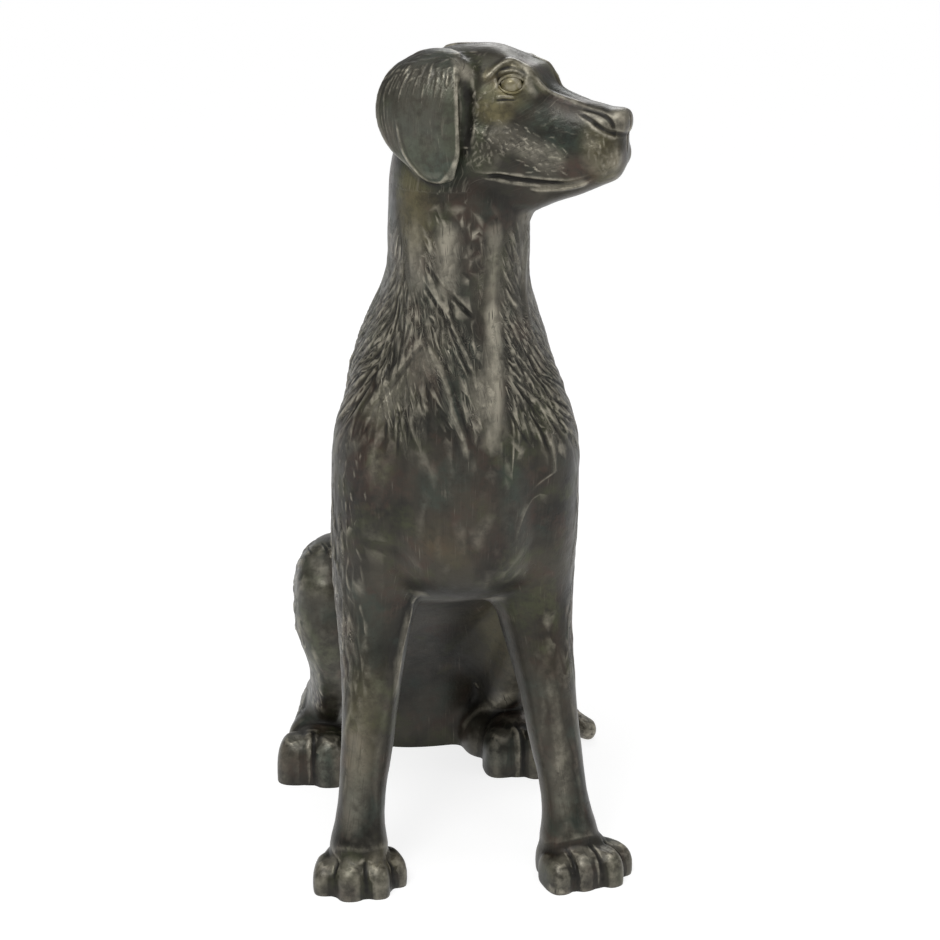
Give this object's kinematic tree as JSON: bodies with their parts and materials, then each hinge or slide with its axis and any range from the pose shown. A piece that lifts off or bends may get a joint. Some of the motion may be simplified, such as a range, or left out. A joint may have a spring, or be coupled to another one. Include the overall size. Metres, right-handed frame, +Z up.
{
  "type": "dog garden ornament",
  "caption": "Seated retriever-like dog in patinated bronze, its head turned to its left, cast in one piece to stand on its own paws and rump.",
  "frame": {"origin": "on the ground, under the middle of the figure's box", "axes": "+Z up, the dog faces -Y, and its left side is towards +X"},
  "size_m": [0.3464, 0.5226, 0.7611],
  "materials": {
    "bronze": "dark brown patina with green and ochre, semi-gloss"
  },
  "bodies": {
    "root": {"dog": "bronze"}
  },
  "joints": []
}
